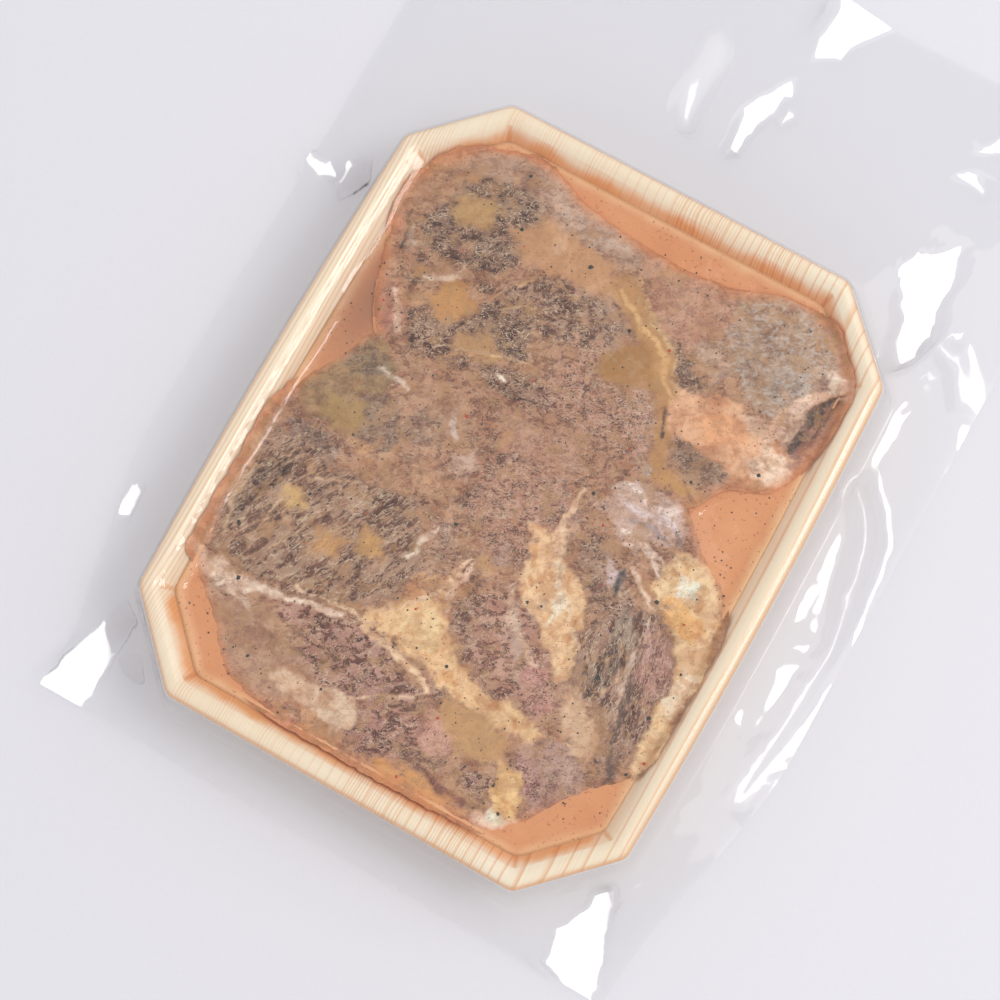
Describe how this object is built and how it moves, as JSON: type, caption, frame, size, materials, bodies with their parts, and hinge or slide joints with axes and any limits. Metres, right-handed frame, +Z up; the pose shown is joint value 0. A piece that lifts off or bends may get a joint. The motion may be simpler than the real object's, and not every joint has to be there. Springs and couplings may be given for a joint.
{
  "type": "vacuum pack of raw marinated pork shoulder",
  "caption": "Clear vacuum pouch shrunk round a wood-grain foam tray that holds overlapping slices of raw marinated pork shoulder",
  "frame": {"origin": "on the resting surface, under the middle of the pouch seen from above", "axes": "+Z up, +Y towards the pouch's long empty end, +X to the right with the long empty end pointing away"},
  "size_m": [0.2145, 0.3005, 0.0293],
  "materials": {
    "foam_tray": "foamed plastic sheet printed with a pale wood grain, glossy",
    "meat": "raw pork, wet with marinade",
    "marinade": "oily orange-brown marinade",
    "clear_film": "clear glossy pouch film, creased where it is drawn tight"
  },
  "bodies": {
    "root": {"tray": "foam_tray", "pork_slice_upper": "meat", "pork_slice_lower": "meat", "marinade_pool_top": "marinade", "marinade_pool_left": "marinade", "marinade_pool_right": "marinade", "marinade_pool_bottom_left": "marinade", "marinade_pool_bottom_right": "marinade", "pouch_top_film": "clear_film", "pouch_bottom_film": "clear_film"}
  },
  "joints": []
}
